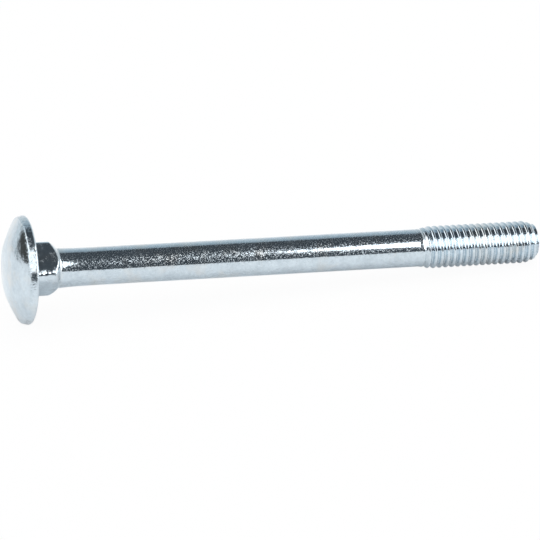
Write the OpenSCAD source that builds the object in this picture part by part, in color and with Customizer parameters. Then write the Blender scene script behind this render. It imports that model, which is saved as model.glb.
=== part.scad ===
// Carriage bolt with a mushroom head, a square neck and a reduced shank with a rolled thread.
// It lies on its head rim and its thread end, on the floor at z = 0, with the thread end towards +X.
// Lengths are in millimetres, and the length is counted from the seat under the head.

/* [Head] */
// outer diameter of the head
head_d = 24.6; // [22:0.1:30]
// height of the head over its seat
head_h = 5.2; // [4.8:0.1:6]
// radius of the nearly flat crown
crown_r = 45; // [30:1:70]
// diameter at which the crown ends
crown_d = 10; // [6:0.5:12]
// radius that rolls the crown over into the flank
roll_r = 6.8; // [4:0.2:9]
// slope of the flank where it starts, in degrees
flank_slope = 23; // [18:1:26]
// radius of the slightly bulged flank
flank_r = 41; // [25:1:70]
// rounding between the flank and the rim
rim_r = 0.6; // [0.4:0.1:1]
// draft of the rim's side, which widens towards the seat, in degrees
rim_draft = 15; // [0:1:20]
// rounding between the rim and the seat
seat_edge_r = 0.5; // [0.2:0.1:0.6]

/* [Neck] */
// width across the flats of the square neck
neck_w = 9.7; // [9:0.1:10.6]
// length of the full square
neck_len = 4.7; // [3:0.1:9]
// radius of the square's corners
neck_corner_r = 1.1; // [0.4:0.1:1.8]
// half angle of the cone that cuts the square down to the shank, in degrees
neck_cone = 46; // [35:1:60]
// hollow rounding between that cone and the shank
neck_root_r = 0.9; // [0.3:0.1:1.5]
// turn of the flats as the bolt lies, in degrees
neck_turn = 38; // [0:1:90]

/* [Shank] */
// length from the seat to the end
bolt_len = 120; // [60:5:200]
// diameter of the shank, which is the blank that the thread is rolled on
shank_d = 8.6; // [8.2:0.1:9]

/* [Thread] */
// outer diameter of the thread
thread_d = 9.75; // [9.4:0.05:10]
// length of the full thread with its tapered end
thread_len = 26; // [15:1:45]
// length over which the thread runs out into the shank
runout_len = 1.5; // [1:0.1:3]
// length of the taper at the end
end_len = 2.8; // [1:0.1:4]
// diameter of the end face
end_d = 7.8; // [7:0.1:9]

/* [Hidden] */
$fn = 180;

head_radius = head_d / 2;
shank_radius = shank_d / 2;
thread_radius = thread_d / 2;
end_radius = end_d / 2;

// Head profile, from the axis outwards: crown, roll, flank and rim, each tangent to the next.
// Points are [radius, height over the seat].
crown_slope = asin(crown_d / 2 / crown_r);
crown_centre = [0, head_h - crown_r];
crown_end = crown_centre + crown_r * [sin(crown_slope), cos(crown_slope)];
roll_centre = crown_end - roll_r * [sin(crown_slope), cos(crown_slope)];
roll_end = roll_centre + roll_r * [sin(flank_slope), cos(flank_slope)];
flank_centre = roll_end - flank_r * [sin(flank_slope), cos(flank_slope)];

// The rim's drafted side touches the edge rounding below it and the rim rounding above it.
seat_edge_centre = [head_radius - seat_edge_r, seat_edge_r];
rim_out = [cos(rim_draft), sin(rim_draft)];
rim_up = [-sin(rim_draft), cos(rim_draft)];
rim_base = seat_edge_centre + (seat_edge_r - rim_r) * rim_out - flank_centre;
rim_rise = sqrt(pow(flank_r - rim_r, 2) - rim_base * rim_base + pow(rim_base * rim_up, 2)) - rim_base * rim_up;
rim_reach = rim_base + rim_rise * rim_up;
rim_centre = flank_centre + rim_reach;
flank_end = flank_centre + flank_r * rim_reach / norm(rim_reach);

// Neck profile: the cone starts where it touches the square's rounded corners.
neck_corner_reach = (neck_w / 2 - neck_corner_r) * sqrt(2) + neck_corner_r;
neck_foot = neck_len + (neck_corner_reach - shank_radius) / tan(neck_cone);
neck_root_tangent = neck_root_r * tan(neck_cone / 2);
neck_end = neck_foot + neck_root_tangent;

// How it lies: the line that touches the head's lower edge and the foot of the end taper is the floor.
touch_len = bolt_len - end_len + seat_edge_r;
touch_drop = seat_edge_centre[0] - thread_radius;
lie_tilt = atan(touch_drop / touch_len) + asin(seat_edge_r / norm([touch_len, touch_drop]));
seat_height = seat_edge_centre[0] * cos(lie_tilt) - seat_edge_r * sin(lie_tilt) + seat_edge_r;
reach_front = bolt_len * cos(lie_tilt) + end_radius * sin(lie_tilt);
reach_back = crown_r - (crown_r - head_h) * cos(lie_tilt);
seat_x = (reach_back - reach_front) / 2;

zinc = [0.80, 0.82, 0.85];

// The part of a disc that lies over the seat between two distances from the axis.
module under_arc(centre, radius, from, to) {
    intersection() {
        translate(centre) circle(r = radius);
        translate([from, 0]) square([to - from, head_h + 1]);
    }
}

module head_profile() {
    under_arc(crown_centre, crown_r, 0, crown_end[0]);
    under_arc(roll_centre, roll_r, crown_end[0], roll_end[0]);
    under_arc(flank_centre, flank_r, roll_end[0], flank_end[0]);
    polygon([
        [roll_end[0], 0],
        [seat_edge_centre[0], 0],
        seat_edge_centre,
        seat_edge_centre + seat_edge_r * rim_out,
        rim_centre + rim_r * rim_out,
        rim_centre,
        [roll_end[0], rim_centre[1]]
    ]);
    translate(seat_edge_centre) circle(r = seat_edge_r);
    translate(rim_centre) circle(r = rim_r);
}

// The head stands below z = 0, so that its seat faces +Z.
module head() {
    mirror([0, 0, 1]) rotate_extrude() head_profile();
}

module neck_square() {
    inner = neck_w - 2 * neck_corner_r;
    square([neck_w, inner], center = true);
    square([inner, neck_w], center = true);
    for (x = [-inner / 2, inner / 2], y = [-inner / 2, inner / 2])
        translate([x, y]) circle(r = neck_corner_r);
}

module neck_limit() {
    difference() {
        polygon([
            [0, -1],
            [neck_w, -1],
            [neck_w, neck_foot - (neck_w - shank_radius) / tan(neck_cone)],
            [shank_radius + neck_root_tangent * sin(neck_cone), neck_foot - neck_root_tangent * cos(neck_cone)],
            [shank_radius, neck_end],
            [0, neck_end]
        ]);
        translate([shank_radius + neck_root_r, neck_end]) circle(r = neck_root_r);
    }
}

// The square is forged first and the die's cone then cuts its corners away towards the shank.
module neck() {
    intersection() {
        translate([0, 0, -head_h / 2]) linear_extrude(neck_end + head_h / 2) neck_square();
        rotate_extrude() neck_limit();
    }
}

// Shank, run-out, thread at its outer diameter and the tapered end, in one turning.
module shank() {
    rotate_extrude() polygon([
        [0, -head_h / 2],
        [shank_radius, -head_h / 2],
        [shank_radius, bolt_len - thread_len - runout_len],
        [thread_radius, bolt_len - thread_len],
        [thread_radius, bolt_len - end_len],
        [end_radius, bolt_len],
        [0, bolt_len]
    ]);
}

module carriage_bolt() {
    color(zinc)
        translate([seat_x, 0, seat_height])
            rotate([0, 90 + lie_tilt, 0])
                rotate([0, 0, neck_turn]) {
                    head();
                    neck();
                    shank();
                }
}

carriage_bolt();
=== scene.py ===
from math import asin, atan, cos, exp, hypot, pi, radians, sin, sqrt, tan

import bmesh
import bpy
from mathutils import Matrix, Vector


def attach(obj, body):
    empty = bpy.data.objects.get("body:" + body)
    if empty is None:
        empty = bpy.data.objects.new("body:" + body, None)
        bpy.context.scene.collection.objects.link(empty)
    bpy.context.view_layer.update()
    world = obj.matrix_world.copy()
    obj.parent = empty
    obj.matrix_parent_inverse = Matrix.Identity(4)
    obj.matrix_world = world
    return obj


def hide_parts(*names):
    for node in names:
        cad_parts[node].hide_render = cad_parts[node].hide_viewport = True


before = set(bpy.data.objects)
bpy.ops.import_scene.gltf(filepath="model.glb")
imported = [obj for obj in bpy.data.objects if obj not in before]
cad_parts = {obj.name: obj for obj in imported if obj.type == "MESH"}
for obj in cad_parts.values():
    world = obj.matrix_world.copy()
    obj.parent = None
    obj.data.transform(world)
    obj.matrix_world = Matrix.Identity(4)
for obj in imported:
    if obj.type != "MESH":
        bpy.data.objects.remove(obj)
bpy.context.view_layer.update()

MM = 0.001

# Sizes of the head, in mm
HEAD_R = 12.3
HEAD_H = 5.2
CROWN_R, CROWN_END = 45.0, 5.0
ROLL_R = 6.8
FLANK_SLOPE, FLANK_R = radians(23), 41.0
RIM_R, RIM_DRAFT = 0.6, radians(15)
SEAT_EDGE_R = 0.5

# Sizes of the neck, with what forging leaves on it: eased flats and one less filled corner
NECK_W, NECK_LEN, NECK_CORNER_R = 9.7, 4.7, 1.1
NECK_CONE, NECK_ROOT_R, NECK_BLEND = radians(46), 0.9, 0.28
NECK_TURN = radians(38)
FORGED_POWER, FORGED_SHARE = 7, 0.6
FRONT_CORNER = radians(225)
WORN_SPAN, WORN_DEPTH, WORN_DRAFT = radians(12), 0.18, 0.085

# Sizes of the shank, and of the thread, whose flank rises 1.732 mm for each mm along the bolt
BOLT_LEN = 120.0
SHANK_R = 4.3
ROOT_FLARE, ROOT_FADE = 0.22, 2.2
THREAD_R = 4.875
THREAD_LEN, RUNOUT_LEN = 26.0, 3.0
PITCH = 1.5
THREAD_DEPTH, CREST_HALF, THREAD_FLANK = 0.76, 0.22, 1.732
CREST_ROUND, GROOVE_ROUND = 0.32, 0.14
THREAD_TURN = radians(127)
GROWTH_TURNS = 2.6
RING_REACH, RING_DEPTH, RING_PITCH = 1.7, 0.012, 0.42
END_LEN, END_R, END_ROUND = 2.8, 3.9, 0.5
END_SHRINK, END_BLEND = 0.75, 0.10

# The hollow in the end face, as radius and depth in mm, and its depth in the middle
END_HOLLOW, END_SINK = ((3.0, 0.0), (2.6, 0.04), (2.0, 0.13), (1.0, 0.19)), 0.21

# How fine the mesh is. Rows on the seat are shares of its width, and those where the neck's flats
# meet the cone are in mm.
COLUMNS, COLUMN_GATHER = 144, 0.4
ARC_STEPS, FLANK_STEPS, EDGE_STEPS, SIDE_STEPS = 8, 12, 10, 4
SEAT_ROWS = (0.75, 0.5, 0.25, 0.06)
NECK_STEPS = 6
MEET_ROWS = (-0.3, -0.2, -0.13, -0.07, 0.0, 0.06, 0.12, 0.18)
SHANK_STEPS, SHANK_GATHER = 24, 1.8
ROWS_A_PITCH = 20
SAME_PLACE = 1e-6
SHARP_ANGLE = radians(40)

# Where the surface is grainy, worn and unevenly forged: lengths in mm, and shares from 0 to 1
GRAIN_SEAT, GRAIN_CONE = 0.12, 0.32
GRAIN_ROOT, GRAIN_GROWTH = 0.35, 50
GRAIN_THREAD = 0.12
GRAIN_RIM = 0.3
RIM_WEAR_PLACE, RIM_WEAR_REACH = 0.35, 0.9
CREST_WEAR, CREST_WEAR_DEPTH = 0.3, 0.25
FORGED_FLAT = 0.25
FORGED_FADE_IN, FORGED_FADE_OUT = 0.8, 1.5

# The plating's noises, each as scale per metre, detail and roughness
CLOUDS = (260, 3, 0.55)
MOTTLES = (1300, 3, 0.6)
STRAW_PATCHES = (170, 3, 0.6)
CRYSTALS = (6000, 1, 0.5)
STEEP_CRYSTALS = (4600, 1, 0.5)
GRAIN_PATCHES = (500, 2, 0.5)
FLECKS = (1500, 4, 0.6)
FROST_PATCHES = (800, 3, 0.6)
WAVES = (420, 2, 0.5)
PITS = (900, 3, 0.6)

# The two values of a noise or of the grain between which something in the plating changes
ZINC_SPAN = (0.34, 0.66)
STRAW_SPAN = (0.50, 0.72)
STEEP_SPAN = (0.52, 0.65)
PATCH_SPAN = (0.35, 0.65)
FLECK_SPAN = (0.3, 0.7)
CLOUD_SPAN = (0.4, 0.6)
GRAIN_SPAN = (0.15, 0.35)
FROST_SPAN = (0.45, 0.65)
PIT_SPAN = (0.32, 0.52)

# The plating's colours, roughness, tilts of its crystals, and heights in mm
ZINC_DARK, ZINC_LIGHT = (0.55, 0.63, 0.69), (0.71, 0.795, 0.855)
STRAW = (0.70, 0.71, 0.70)
MOTTLE_SHARE, STRAW_SHARE = 0.5, 0.8
POLISH = (0.05, 0.08)
WORN_ROUGH, DULL_ROUGH, FROST_ROUGH = 0.12, 0.25, 0.20
CRYSTAL_TILT = (0.08, 1.6)
PATCH_TILT = (0.7, 1.3)
GRAIN_TILT = (0.12, 0.50)
SWELL_HEAD, SWELL_SHANK, SWELL_FORGED = 0.070, 0.020, 0.14
PIT_DEPTH = 0.060

# The floor
FLOOR_REACH = 3.0
FLOOR_COLOUR = (0.86, 0.86, 0.86, 1)
FLOOR_SEEN_WHITE, FLOOR_MIRRORED_WHITE = 0.95, 0.12

# The studio's colours, from the front horizon at 0 degrees over the top to the backdrop's at 180
STUDIO = (
    (0, (0.075, 0.085, 0.095)),
    (20, (0.065, 0.075, 0.085)),
    (64, (0.070, 0.080, 0.090)),
    (122, (0.070, 0.080, 0.090)),
    (127, (0.33, 0.40, 0.45)),
    (140, (0.45, 0.54, 0.60)),
    (156, (0.60, 0.69, 0.74)),
    (180, (0.84, 0.88, 0.90)),
)
WALL = (0.40, 0.43, 0.45)
GAP = (0.080, 0.078, 0.074)
SOFT_BOX = (1.7, 1.7, 1.7)
RIGHT_BACKDROP = (0.70, 0.74, 0.76)
GROUND = (0.90, 0.91, 0.92)

# Edges in the studio, each from where it starts to where it is full; the gap's and the box's in degrees
WALL_EDGE = (-0.90, -0.97)
GAP_FOOT_SLOPE, GAP_FOOT = 0.23, (-9, -4)
GAP_OUTER_SLOPE, GAP_OUTER = -0.6, (-60, -54)
GAP_INNER = (-13, -15)
BOX_FOOT_SLOPE, BOX_FOOT, BOX_TOP = -0.2, (4, 9), (58, 50)
BOX_INNER, BOX_OUTER = (-14, -10), (92, 80)
RIGHT_EDGE, RIGHT_FOOT = (0.45, 0.7), (0.40, 0.52)
GROUND_EDGE = (-0.0002, -0.0010)

# The photograph's view: angles, focal length and width in pixels, the sensor's width in mm, and the
# camera's place from the seat in metres
VIEW_TURN, VIEW_DROP = radians(15.44), radians(25.0)
PHOTO_FOCAL, PHOTO_WIDTH = 4600, 540
SENSOR_WIDTH = 36.0
VIEW_RIGHT, VIEW_UP, VIEW_BACK = 0.0544, -0.000035, 1.031

# How it lies: the same line of touch as the solid's
TOUCH_LEN = BOLT_LEN - END_LEN + SEAT_EDGE_R
TOUCH_DROP = HEAD_R - SEAT_EDGE_R - THREAD_R
TILT = atan(TOUCH_DROP / TOUCH_LEN) + asin(SEAT_EDGE_R / hypot(TOUCH_LEN, TOUCH_DROP))
SEAT_Z = (HEAD_R - SEAT_EDGE_R) * cos(TILT) - SEAT_EDGE_R * sin(TILT) + SEAT_EDGE_R
SEAT_X = (CROWN_R - (CROWN_R - HEAD_H) * cos(TILT) - BOLT_LEN * cos(TILT) - END_R * sin(TILT)) / 2
SEAT = Vector((SEAT_X * MM, 0, SEAT_Z * MM))
PLACE = Matrix.Translation(SEAT) @ Matrix.Rotation(pi / 2 + TILT, 4, "Y")

# Where the neck's cone and root end and the thread starts, along the bolt from the seat
CORNER_REACH = (NECK_W / 2 - NECK_CORNER_R) * sqrt(2) + NECK_CORNER_R
NECK_FOOT = NECK_LEN + (CORNER_REACH - SHANK_R) / tan(NECK_CONE)
ROOT_TANGENT = NECK_ROOT_R * tan(NECK_CONE / 2)
CONE_END = NECK_FOOT - ROOT_TANGENT * cos(NECK_CONE)
NECK_END = NECK_FOOT + ROOT_TANGENT
THREAD_START = BOLT_LEN - THREAD_LEN - RUNOUT_LEN


# Profiles
def arc(centre, radius, start, end, steps):
    """Points (s, r) on an arc, given by the surface's slope: 0 on the crown, 90 degrees on the rim."""
    out = []
    for k in range(steps + 1):
        a = start + (end - start) * k / steps
        out.append((centre[0] - radius * cos(a), centre[1] + radius * sin(a)))
    return out


def head_path():
    """The head's section from its top to the seat, as (distance along the bolt, radius)."""
    crown_end = asin(CROWN_END / CROWN_R)
    crown = (CROWN_R - HEAD_H, 0.0)
    roll_reach = CROWN_R - ROLL_R
    roll = (crown[0] - roll_reach * cos(crown_end), roll_reach * sin(crown_end))
    flank_reach = FLANK_R - ROLL_R
    flank = (roll[0] + flank_reach * cos(FLANK_SLOPE), roll[1] - flank_reach * sin(FLANK_SLOPE))
    # the rim's drafted side touches the edge rounding below it and the rim rounding above it
    out = Vector((cos(RIM_DRAFT), sin(RIM_DRAFT)))
    along = Vector((-sin(RIM_DRAFT), cos(RIM_DRAFT)))
    edge_centre = Vector((HEAD_R - SEAT_EDGE_R, SEAT_EDGE_R))
    base = edge_centre + (SEAT_EDGE_R - RIM_R) * out - Vector((flank[1], -flank[0]))
    rise = sqrt((FLANK_R - RIM_R) ** 2 - base.dot(base) + base.dot(along) ** 2) - base.dot(along)
    reach = base + rise * along
    flank_end = pi / 2 - atan(reach.y / reach.x)
    side = pi / 2 - RIM_DRAFT
    rim = (flank[0] - reach.y, flank[1] + reach.x)
    path = arc(crown, CROWN_R, 0, crown_end, ARC_STEPS)
    path += arc(roll, ROLL_R, crown_end, FLANK_SLOPE, ARC_STEPS)[1:]
    path += arc(flank, FLANK_R, FLANK_SLOPE, flank_end, FLANK_STEPS)[1:]
    path += arc(rim, RIM_R, flank_end, side, ARC_STEPS)[1:]
    edge = arc((-SEAT_EDGE_R, HEAD_R - SEAT_EDGE_R), SEAT_EDGE_R, side, pi, EDGE_STEPS)
    foot, top = edge[0], path[-1]
    for k in range(1, SIDE_STEPS):
        share = k / SIDE_STEPS
        path.append((top[0] + (foot[0] - top[0]) * share, top[1] + (foot[1] - top[1]) * share))
    return path + edge


def soft_min(a, b, k):
    """The smaller of two values, with a rounding of size k where they meet."""
    h = max(k - abs(a - b), 0.0) / k
    return min(a, b) - h * h * k / 4


def soft_max(a, b, k):
    """The larger of two values, rounded in the same way."""
    return -soft_min(-a, -b, k)


def square_radius(angle):
    """Distance from the axis to the neck's square with rounded corners, in one direction."""
    a = (angle + pi / 4) % (pi / 2) - pi / 4
    inner = NECK_W / 2 - NECK_CORNER_R
    flat = NECK_W / 2 / cos(a)
    if abs(flat * sin(a)) <= inner:
        return flat
    c = inner * sqrt(2)
    off = pi / 4 - abs(a)
    return c * cos(off) + sqrt(NECK_CORNER_R ** 2 - (c * sin(off)) ** 2)


def forged_radius(angle):
    """The same square as forging leaves it: its flats start to turn before they reach the corner."""
    total = abs(cos(angle)) ** FORGED_POWER + abs(sin(angle)) ** FORGED_POWER
    eased = NECK_W / 2 / total ** (1 / FORGED_POWER)
    return square_radius(angle) + (eased - square_radius(angle)) * FORGED_SHARE


def shank_radius(s):
    """The shank swells a little where it runs into the neck."""
    return SHANK_R + ROOT_FLARE * exp(-abs(s - NECK_END) / ROOT_FADE)


def neck_limit(s):
    """Radius of the turned cone and its hollow root at one distance from the seat."""
    if s <= CONE_END:
        return shank_radius(s) + (NECK_FOOT - s) * tan(NECK_CONE)
    if s >= NECK_END:
        return shank_radius(s)
    return shank_radius(s) + NECK_ROOT_R - sqrt(max(NECK_ROOT_R ** 2 - (NECK_END - s) ** 2, 0))


def corner_wear(angle):
    """1 on the front corner, which is less filled than the others, fading to 0 beside it."""
    off = (angle - FRONT_CORNER + pi) % (2 * pi) - pi
    return exp(-(off / WORN_SPAN) ** 2)


def neck_rows(angle):
    """One column of the neck, with rows gathered where the flat meets the cone."""
    wide = forged_radius(angle)
    worn = corner_wear(angle)
    meet = NECK_FOOT - (wide - SHANK_R) / tan(NECK_CONE)
    last = meet + MEET_ROWS[-1]
    steps = range(1, NECK_STEPS + 1)
    rows = [meet * k / NECK_STEPS for k in range(NECK_STEPS)]
    rows += [meet + d for d in MEET_ROWS]
    rows += [last + (CONE_END - last) * k / NECK_STEPS for k in steps]
    rows += [CONE_END + (NECK_END - CONE_END) * k / NECK_STEPS for k in steps]
    column = []
    for s in rows:
        flat = wide - worn * (WORN_DEPTH + WORN_DRAFT * s)
        column.append((s, soft_min(flat, neck_limit(s), NECK_BLEND)))
    return column


def thread_radius(s, angle):
    """Rolled thread: rounded crests and roots, growing out of the shank and tapered at its end."""
    x = ((s - THREAD_START) / PITCH - (angle + THREAD_TURN) / (2 * pi)) % 1.0
    x = abs(x - 0.5) * PITCH
    grown = min(max((s - THREAD_START) / (GROWTH_TURNS * PITCH), 0.0), 1.0)
    grown = grown * grown * (3 - 2 * grown)
    full = soft_min(THREAD_R, THREAD_R - (x - CREST_HALF) * THREAD_FLANK, CREST_ROUND)
    full = soft_max(full, THREAD_R - THREAD_DEPTH, GROOVE_ROUND)
    r = SHANK_R + (full - SHANK_R) * grown
    # fine rings that the rolls' ends leave where the thread starts
    ring = max(0.0, 1 - abs(s - THREAD_START - RING_REACH) / RING_REACH)
    r -= RING_DEPTH * ring * (1 - cos(2 * pi * (s - THREAD_START) / RING_PITCH))
    drop = (THREAD_R - END_R) * max(s - (BOLT_LEN - END_LEN), 0.0) / END_LEN
    u = min(max(1 - (BOLT_LEN - s) / END_ROUND, 0.0), 1.0)
    taper = THREAD_R - drop - END_ROUND * (1 - sqrt(1 - u * u))
    return min(soft_min(r - END_SHRINK * drop, taper, END_BLEND), taper)


# The bolt's mesh
def grain_at(s):
    """How strongly the plating's crystals show: hardly on the head, most in the middle of the shank."""
    if s > BOLT_LEN - THREAD_LEN:
        return GRAIN_THREAD
    if s >= NECK_END:
        return min(GRAIN_ROOT + (s - NECK_END) / GRAIN_GROWTH, 1.0)
    if s > 0:
        return GRAIN_SEAT + (GRAIN_CONE - GRAIN_SEAT) * s / NECK_END
    return 0.0


def column_angles():
    """Directions of the mesh's columns, close together at the neck's corners and wider at its flats."""
    quarter = COLUMNS // 4
    angles = []
    for j in range(COLUMNS):
        u = 2 * (j % quarter) / quarter - 1
        u = (1 - COLUMN_GATHER) * u + COLUMN_GATHER * u ** 3
        angles.append(NECK_TURN + pi / 4 + (j // quarter) * pi / 2 + pi / 4 * u)
    return angles


class BoltMesh:
    """The mesh as it is made, with s along the bolt from the seat and r from its axis, in mm."""

    def __init__(self):
        self.bm = bmesh.new()
        self.wear = self.bm.verts.layers.float.new("wear")
        self.grain = self.bm.verts.layers.float.new("grain")
        self.forged = self.bm.verts.layers.float.new("forged")

    def vert(self, s, r, angle, worn=0.0, uneven=0.0):
        """One point, with what the material reads there."""
        v = self.bm.verts.new((r * cos(angle) * MM, r * sin(angle) * MM, s * MM))
        v[self.wear] = worn
        v[self.grain] = grain_at(s) if s >= 0 else GRAIN_RIM * worn
        v[self.forged] = uneven
        return v

    def strip(self, left, right):
        """Faces between two columns. Where points are shared, a face is a triangle or left out."""
        for corners in zip(left, left[1:], right[1:], right):
            ring = list(dict.fromkeys(corners))
            if len(ring) > 2:
                self.bm.faces.new(ring)

    def wrap(self, columns, last=None):
        """Strips all the way round. The last column joins the first, or the one that stands for it."""
        for left, right in zip(columns, columns[1:] + [last or columns[0]]):
            self.strip(left, right)

    def add_head(self, angles):
        """Head, seat and neck, from the middle of the crown to the neck's last row."""
        apex = self.vert(-HEAD_H, 0.0, 0.0)
        seat_reach = HEAD_R - SEAT_EDGE_R
        columns = []
        for angle in angles:
            column = [apex]
            for s, r in head_path()[1:]:
                worn = max(0.0, 1 - abs(r - HEAD_R + RIM_WEAR_PLACE) / RIM_WEAR_REACH)
                column.append(self.vert(s, r, angle, worn))
            wide = forged_radius(angle - NECK_TURN)
            for share in SEAT_ROWS:
                column.append(self.vert(0.0, wide + (seat_reach - wide) * share, angle))
            corner = sin(2 * (angle - NECK_TURN)) ** 4
            for s, r in neck_rows(angle - NECK_TURN):
                fade = min(s / FORGED_FADE_IN, (NECK_END - s) / FORGED_FADE_OUT, 1.0)
                uneven = (FORGED_FLAT + (1 - FORGED_FLAT) * corner) * fade
                column.append(self.vert(s, r, angle, 0.0, uneven))
            columns.append(column)
        self.wrap(columns)
        return [column[-1] for column in columns]

    def add_shank(self, angles, ends):
        """From the neck to the thread's start, with rows close together near the neck."""
        length = THREAD_START - NECK_END
        steps = range(1, SHANK_STEPS + 1)
        rows = [NECK_END + length * (k / SHANK_STEPS) ** SHANK_GATHER for k in steps]
        columns = []
        for angle, end in zip(angles, ends):
            columns.append([end] + [self.vert(s, shank_radius(s), angle) for s in rows])
        self.wrap(columns)
        return [column[-1] for column in columns]

    def add_thread(self, angles, ends):
        """The rows follow the helix, and each column is cut at both ends by a plane."""
        rows = int(round((THREAD_LEN + RUNOUT_LEN + PITCH) / PITCH * ROWS_A_PITCH))
        columns = []
        for angle, end in zip(angles, ends):
            column = []
            last = THREAD_START
            lead = PITCH * (angle - angles[0]) / (2 * pi)
            for k in range(rows + 1):
                s = THREAD_START - PITCH + k * PITCH / ROWS_A_PITCH + lead
                s = min(max(s, THREAD_START), BOLT_LEN)
                if s - THREAD_START < SAME_PLACE:
                    v = end
                elif s == last:
                    v = column[-1]
                else:
                    r = thread_radius(s, angle)
                    worn = CREST_WEAR * max(0.0, (r - THREAD_R + CREST_WEAR_DEPTH) / CREST_WEAR_DEPTH)
                    v = self.vert(s, r, angle, worn)
                last = s
                column.append(v)
            columns.append(column)
        # the last column meets the first one a turn of the helix further on
        further = [columns[0][min(k + ROWS_A_PITCH, rows)] for k in range(rows + 1)]
        self.wrap(columns, further)
        return [column[-1] for column in columns]

    def add_end(self, angles, ends):
        """The end face, with a slight hollow from rolling."""
        tip = self.vert(BOLT_LEN - END_SINK, 0.0, 0.0)
        columns = []
        for angle, end in zip(angles, ends):
            hollow = [self.vert(BOLT_LEN - sink, r, angle) for r, sink in END_HOLLOW]
            columns.append([end] + hollow + [tip])
        self.wrap(columns)

    def finish(self, name):
        """Lay the bolt down and make its object."""
        bm = self.bm
        bmesh.ops.recalc_face_normals(bm, faces=bm.faces[:])
        open_edges = [e for e in bm.edges if len(e.link_faces) != 2]
        print("bolt mesh:", len(bm.verts), "points,", len(bm.faces), "faces,",
              len(open_edges), "open edges")
        bm.transform(PLACE)
        mesh = bpy.data.meshes.new(name)
        bm.to_mesh(mesh)
        bm.free()
        mesh.shade_smooth()
        mesh.set_sharp_from_angle(angle=SHARP_ANGLE)
        obj = bpy.data.objects.new(name, mesh)
        bpy.context.scene.collection.objects.link(obj)
        return obj


def build_bolt():
    """The whole bolt. Each part starts from the last points of the one before."""
    mesh = BoltMesh()
    angles = column_angles()
    ends = mesh.add_head(angles)
    ends = mesh.add_shank(angles, ends)
    ends = mesh.add_thread(angles, ends)
    mesh.add_end(angles, ends)
    return mesh.finish("bolt_body")


# Node trees
class Tree:
    """The emptied node tree of a material or a world, with one call for each kind of node used here."""

    def __init__(self, owner):
        owner.use_nodes = True
        self.nodes = owner.node_tree.nodes
        self.links = owner.node_tree.links
        self.nodes.clear()

    def add(self, kind, **values):
        """A node with values for its sockets and settings."""
        node = self.nodes.new(kind)
        for key, value in values.items():
            if key in node.inputs:
                node.inputs[key].default_value = value
            else:
                setattr(node, key, value)
        return node

    def feed(self, value, socket):
        """Set a number or a tuple on the socket itself, and link what comes from another node."""
        if isinstance(value, (int, float, tuple)):
            socket.default_value = value
        else:
            self.links.new(value, socket)

    def attribute(self, name):
        return self.add("ShaderNodeAttribute", attribute_name=name).outputs["Fac"]

    def noise(self, coord, scale, detail, rough, output="Fac"):
        node = self.add("ShaderNodeTexNoise", Scale=scale, Detail=detail, Roughness=rough)
        self.links.new(coord, node.inputs["Vector"])
        return node.outputs[output]

    def spread(self, value, low, high, out_low=0.0, out_high=1.0):
        """Map low to high onto out_low to out_high, and hold the ends beyond them."""
        node = self.add("ShaderNodeMapRange")
        limits = {"From Min": low, "From Max": high, "To Min": out_low, "To Max": out_high}
        for key, limit in limits.items():
            node.inputs[key].default_value = limit
        self.links.new(value, node.inputs["Value"])
        return node.outputs["Result"]

    def calc(self, operation, *values):
        node = self.add("ShaderNodeMath", operation=operation)
        for value, socket in zip(values, node.inputs):
            self.feed(value, socket)
        return node.outputs[0]

    def product(self, first, *others):
        for other in others:
            first = self.calc("MULTIPLY", first, other)
        return first

    def vector(self, operation, first, second=None):
        node = self.add("ShaderNodeVectorMath", operation=operation)
        self.links.new(first, node.inputs[0])
        if second is not None:
            self.feed(second, node.inputs["Scale" if operation == "SCALE" else 1])
        return node.outputs["Vector"]

    def ramp(self, value, stops):
        """Colours between the stops, each given as (place, colour)."""
        node = self.add("ShaderNodeValToRGB")
        elements = node.color_ramp.elements
        for element, (place, colour) in zip(elements, (stops[0], stops[-1])):
            element.position = place
            element.color = (*colour, 1)
        for place, colour in stops[1:-1]:
            elements.new(place).color = (*colour, 1)
        self.links.new(value, node.inputs["Fac"])
        return node.outputs["Color"]

    def lay(self, below, share, colour):
        """One colour over another, by a share from 0 to 1."""
        node = self.add("ShaderNodeMix", data_type="RGBA")
        share_in, below_in, above_in = node.inputs[0], node.inputs[6], node.inputs[7]
        self.links.new(share, share_in)
        self.links.new(below, below_in)
        above_in.default_value = (*colour, 1)
        return node.outputs[2]


# Materials
def zinc_colour(tree, coord, clouds):
    """Cool zinc with small mottles, and a trace of straw where the passivation is thick."""
    mottles = tree.product(tree.noise(coord, *MOTTLES), MOTTLE_SHARE)
    shade = tree.calc("MULTIPLY_ADD", clouds, 1 - MOTTLE_SHARE, mottles)
    plain = tree.ramp(shade, ((ZINC_SPAN[0], ZINC_DARK), (ZINC_SPAN[1], ZINC_LIGHT)))
    straw = tree.spread(tree.noise(coord, *STRAW_PATCHES), *STRAW_SPAN, 0.0, STRAW_SHARE)
    return tree.lay(plain, straw, STRAW)


def zinc_crystals(tree, coord, grain, steep):
    """The normal on fine crystals in the plating, most of them nearly level and a few well tilted."""
    tilt = tree.vector("SUBTRACT", tree.noise(coord, *CRYSTALS, "Color"), (0.5, 0.5, 0.5))
    amount = tree.product(
        tree.spread(steep, 0.0, 1.0, *CRYSTAL_TILT),
        tree.spread(tree.noise(coord, *GRAIN_PATCHES), *PATCH_SPAN, *PATCH_TILT),
        tree.spread(grain, 0.0, 1.0, *GRAIN_TILT))
    normal = tree.add("ShaderNodeNewGeometry").outputs["Normal"]
    normal = tree.vector("ADD", normal, tree.vector("SCALE", tilt, amount))
    return tree.vector("NORMALIZE", normal)


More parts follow.
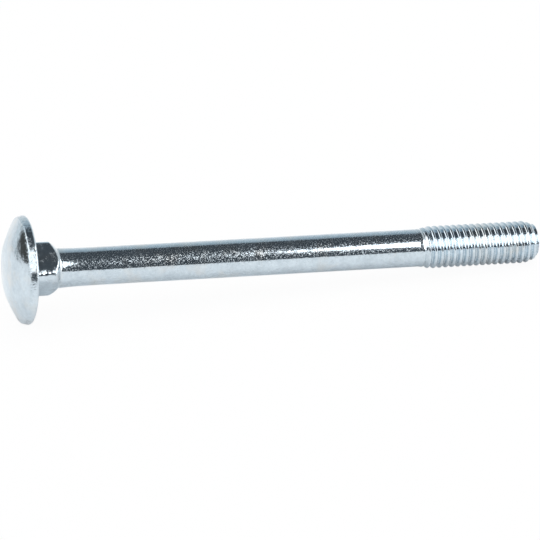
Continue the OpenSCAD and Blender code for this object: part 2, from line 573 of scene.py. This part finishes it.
def zinc_gloss(tree, coord, grain, steep, wear, forged, clouds):
    """Bright between the steep crystals, duller on them, on worn edges and in places on the neck."""
    polish = tree.spread(tree.noise(coord, *FLECKS), *FLECK_SPAN, *POLISH)
    worn = tree.product(wear, tree.spread(clouds, *CLOUD_SPAN, 0.0, WORN_ROUGH))
    dull = tree.product(steep, tree.spread(grain, *GRAIN_SPAN, 0.0, DULL_ROUGH))
    frost = tree.spread(tree.noise(coord, *FROST_PATCHES), *FROST_SPAN, 0.0, FROST_ROUGH)
    frost = tree.product(frost, tree.spread(forged, 0.0, FORGED_FLAT))
    return tree.calc("ADD", tree.calc("ADD", polish, worn), tree.calc("ADD", dull, frost))


def zinc_form(tree, coord, grain, wear, forged, normal):
    """The normal on a slightly wavy blank with pits on its worn edges, over the crystals' normal."""
    swell = tree.spread(grain, 0.0, 1.0, SWELL_HEAD * MM, SWELL_SHANK * MM)
    swell = tree.calc("MULTIPLY_ADD", forged, SWELL_FORGED * MM, swell)
    waves = tree.product(tree.noise(coord, *WAVES), swell)
    pits = tree.spread(tree.noise(coord, *PITS), *PIT_SPAN, -PIT_DEPTH * MM, 0.0)
    bump = tree.add("ShaderNodeBump", Strength=1.0, Distance=1.0)
    tree.links.new(tree.calc("ADD", waves, tree.product(pits, wear)), bump.inputs["Height"])
    tree.links.new(normal, bump.inputs["Normal"])
    return bump.outputs["Normal"]


def zinc():
    """Bright zinc plating, which reads from the mesh where it is worn, grainy and unevenly forged."""
    mat = bpy.data.materials.new("bright_zinc")
    tree = Tree(mat)
    shader = tree.add("ShaderNodeBsdfPrincipled", Metallic=1.0)
    coord = tree.add("ShaderNodeTexCoord").outputs["Object"]
    wear, grain, forged = (tree.attribute(name) for name in ("wear", "grain", "forged"))
    clouds = tree.noise(coord, *CLOUDS)
    steep = tree.spread(tree.noise(coord, *STEEP_CRYSTALS), *STEEP_SPAN)
    colour = zinc_colour(tree, coord, clouds)
    gloss = zinc_gloss(tree, coord, grain, steep, wear, forged, clouds)
    crystals = zinc_crystals(tree, coord, grain, steep)
    form = zinc_form(tree, coord, grain, wear, forged, crystals)
    for source, name in ((colour, "Base Color"), (gloss, "Roughness"), (form, "Normal")):
        tree.links.new(source, shader.inputs[name])
    tree.links.new(shader.outputs["BSDF"], tree.add("ShaderNodeOutputMaterial").inputs["Surface"])
    return mat


def floor_material():
    """A pale matt floor that the camera sees as nearly white, with the bolt's shadow kept."""
    mat = bpy.data.materials.new("studio_floor")
    tree = Tree(mat)
    matt = tree.add("ShaderNodeBsdfDiffuse", Color=FLOOR_COLOUR)
    white = tree.add("ShaderNodeEmission", Color=(1, 1, 1, 1), Strength=1.0)
    path = tree.add("ShaderNodeLightPath").outputs
    mirrored = tree.calc("MAXIMUM", path["Is Glossy Ray"], path["Is Transmission Ray"])
    share = tree.calc(
        "MAXIMUM",
        tree.product(path["Is Camera Ray"], FLOOR_SEEN_WHITE),
        tree.product(mirrored, FLOOR_MIRRORED_WHITE))
    mix = tree.add("ShaderNodeMixShader")
    for source, socket in zip((share, matt.outputs[0], white.outputs[0]), mix.inputs):
        tree.links.new(source, socket)
    tree.links.new(mix.outputs[0], tree.add("ShaderNodeOutputMaterial").inputs["Surface"])
    return mat


# Room
def build_floor():
    """One square of pale floor under the bolt."""
    mesh = bpy.data.meshes.new("studio_floor")
    r = FLOOR_REACH
    mesh.from_pydata([(-r, -r, 0), (r, -r, 0), (r, r, 0), (-r, r, 0)], [], [(0, 1, 2, 3)])
    obj = bpy.data.objects.new("studio_floor", mesh)
    bpy.context.scene.collection.objects.link(obj)
    mesh.materials.append(floor_material())
    return obj


def build_world():
    """A dark studio overhead and behind the camera, with a white backdrop behind the bolt."""
    world = bpy.data.worlds.new("studio")
    bpy.context.scene.world = world
    tree = Tree(world)
    split = tree.add("ShaderNodeSeparateXYZ")
    tree.links.new(tree.add("ShaderNodeTexCoord").outputs["Generated"], split.inputs[0])
    x, y, z = split.outputs["X"], split.outputs["Y"], split.outputs["Z"]
    front = tree.product(y, -1.0)

    # the angle over the front horizon, as a share of the half turn to the backdrop's
    turn = tree.calc("DIVIDE", tree.calc("ARCTAN2", tree.calc("MAXIMUM", z, 0.0), front), pi)
    colour = tree.ramp(turn, [(place / 180, shade) for place, shade in STUDIO])

    # bearings round the table from its left end, and heights over the horizon, in degrees
    side = tree.product(tree.calc("ARCTAN2", front, tree.product(x, -1.0)), 180 / pi)
    rise = tree.product(tree.calc("ARCSINE", z), 180 / pi)
    inner = tree.calc("ADD", side, rise)

    # the wall at the table's left end
    colour = tree.lay(colour, tree.spread(x, *WALL_EDGE), WALL)
    # a dark gap beside the backdrop
    foot = tree.calc("ADD", rise, tree.product(side, GAP_FOOT_SLOPE))
    outer = tree.calc("ADD", side, tree.product(rise, GAP_OUTER_SLOPE))
    gap = tree.product(
        tree.spread(foot, *GAP_FOOT),
        tree.spread(outer, *GAP_OUTER),
        tree.spread(inner, *GAP_INNER))
    colour = tree.lay(colour, gap, GAP)
    # a wide soft box left of the camera
    foot = tree.calc("ADD", rise, tree.product(side, BOX_FOOT_SLOPE))
    box = tree.product(
        tree.spread(inner, *BOX_INNER),
        tree.spread(side, *BOX_OUTER),
        tree.spread(foot, *BOX_FOOT),
        tree.spread(foot, *BOX_TOP))
    colour = tree.lay(colour, box, SOFT_BOX)
    # the backdrop comes round on the right
    right = tree.product(tree.spread(x, *RIGHT_EDGE), tree.spread(turn, *RIGHT_FOOT))
    colour = tree.lay(colour, right, RIGHT_BACKDROP)
    # past the floor's edge the ground goes on as pale as the floor
    colour = tree.lay(colour, tree.spread(z, *GROUND_EDGE), GROUND)

    back = tree.add("ShaderNodeBackground", Strength=1.0)
    tree.links.new(colour, back.inputs["Color"])
    tree.links.new(back.outputs[0], tree.add("ShaderNodeOutputWorld").inputs["Surface"])


def area(name, place, shape, size, power):
    """An area light that points at the middle of the bolt, in metres and watts."""
    data = bpy.data.lights.new(name, "AREA")
    data.shape = shape
    data.size, data.size_y = size
    data.energy = power
    obj = bpy.data.objects.new(name, data)
    bpy.context.scene.collection.objects.link(obj)
    obj.location = place
    obj.rotation_euler = (-Vector(place)).to_track_quat("-Z", "Y").to_euler()
    return obj


def build_lights():
    """A round box that shows in the metal only, and an overhead one that only lights."""
    box = area("round_box", (0.875, -0.62, 0.58), shape="DISK", size=(1.275, 1.275), power=12.0)
    box.visible_diffuse = False
    overhead = area("overhead_box", (0.3, 0.1, 1.6), shape="RECTANGLE", size=(2.4, 2.0), power=24.5)
    overhead.visible_glossy = False


def build_camera():
    """The photograph's view: a long lens, the head nearer than the thread's end."""
    ahead = Vector((cos(VIEW_DROP) * sin(VIEW_TURN), cos(VIEW_DROP) * cos(VIEW_TURN), -sin(VIEW_DROP)))
    right = Vector((cos(VIEW_TURN), -sin(VIEW_TURN), 0))
    up = right.cross(ahead)
    place = SEAT + VIEW_RIGHT * right + VIEW_UP * up - VIEW_BACK * ahead
    data = bpy.data.cameras.new("photo_camera")
    data.sensor_width = SENSOR_WIDTH
    data.lens = PHOTO_FOCAL / PHOTO_WIDTH * SENSOR_WIDTH
    data.clip_start = 0.01
    data.clip_end = 20
    obj = bpy.data.objects.new("photo_camera", data)
    bpy.context.scene.collection.objects.link(obj)
    obj.matrix_world = Matrix((
        (right.x, up.x, -ahead.x, place.x),
        (right.y, up.y, -ahead.y, place.y),
        (right.z, up.z, -ahead.z, place.z),
        (0, 0, 0, 1)))
    bpy.context.scene.camera = obj


# Put together
bolt = build_bolt()
bolt.data.materials.append(zinc())
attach(bolt, "root")
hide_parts("carriage_bolt")

build_floor()
build_world()
build_lights()
build_camera()

view = bpy.context.scene.view_settings
view.view_transform = "Standard"
